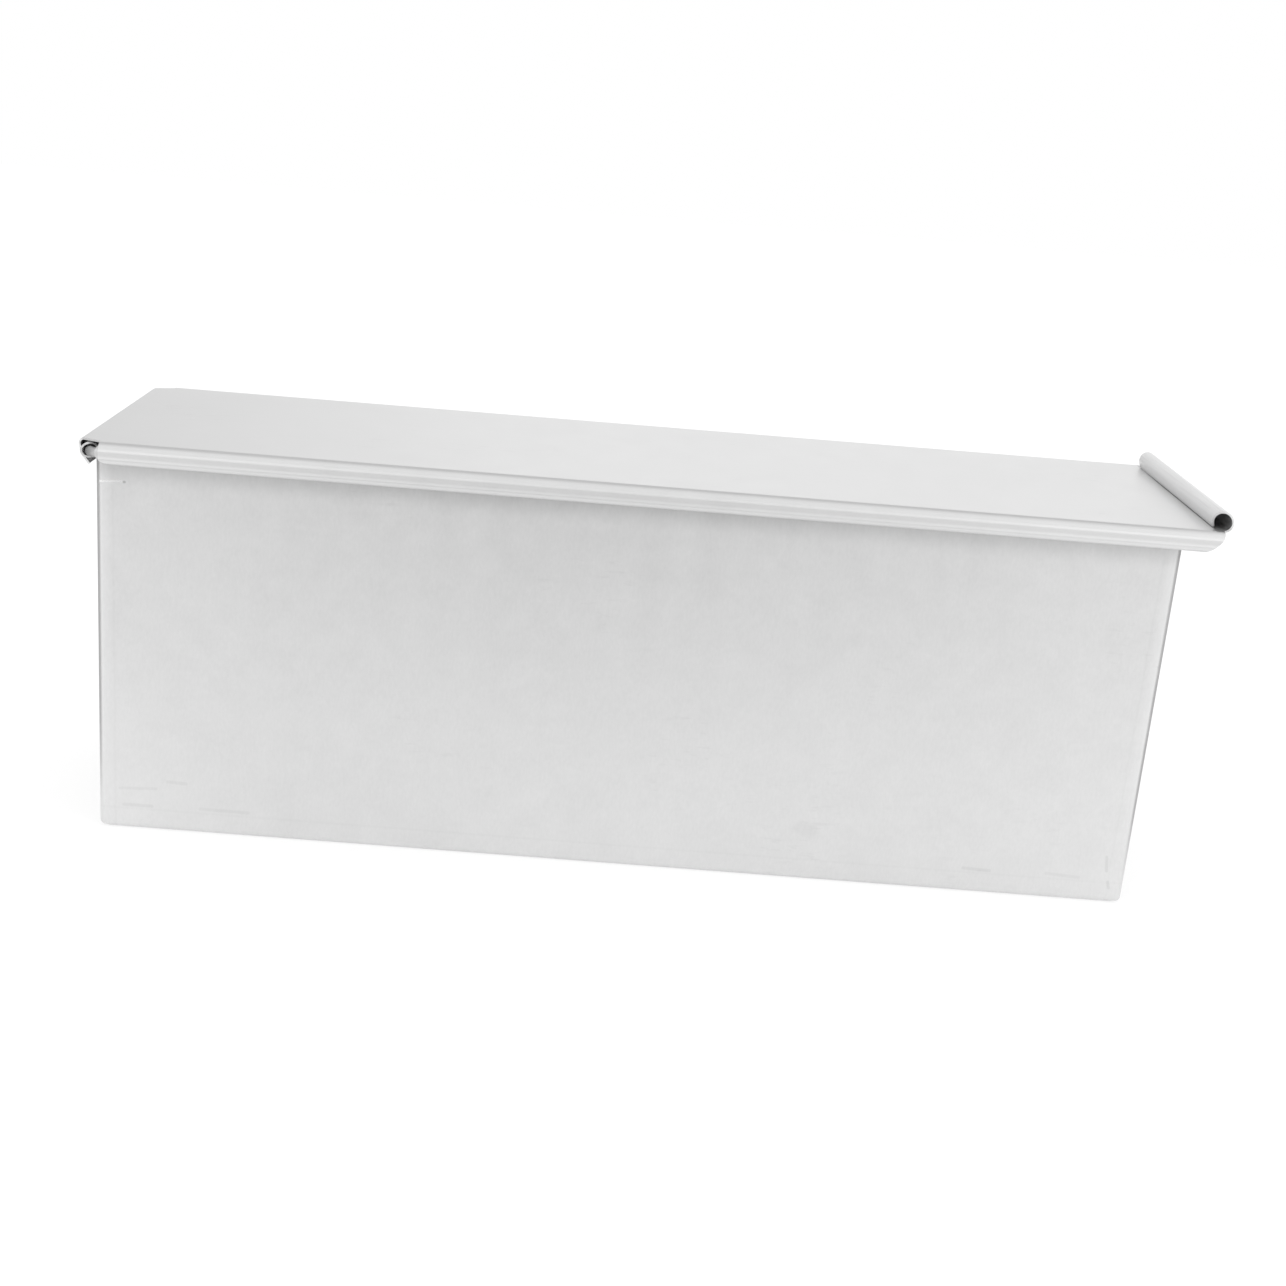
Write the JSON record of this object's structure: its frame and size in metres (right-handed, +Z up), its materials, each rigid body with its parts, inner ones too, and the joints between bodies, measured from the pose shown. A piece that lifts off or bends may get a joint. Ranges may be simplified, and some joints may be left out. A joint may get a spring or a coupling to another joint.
{
  "type": "pullman loaf pan",
  "caption": "Long, steep-sided loaf pan of folded sheet steel with a rolled, wired rim and a flat lid that slides on the rim, with a hooked end and a curled grip.",
  "frame": {"origin": "centre of the pan's flat underside", "axes": "+X along the pan towards the lid's curled grip, +Y across it, +Z up"},
  "size_m": [0.3495, 0.1204, 0.1286],
  "materials": {
    "sheet_steel": "satin aluminised",
    "wire_steel": "dull drawn wire"
  },
  "bodies": {
    "pan": {"pan_shell": "sheet_steel", "rim_wire": "wire_steel"},
    "lid": {"lid": "sheet_steel"}
  },
  "joints": [
    {"name": "lid_slide", "type": "slide", "parent": "pan", "child": "lid", "axis": [-1, 0, 0], "range_m": [0, 0.36]}
  ]
}
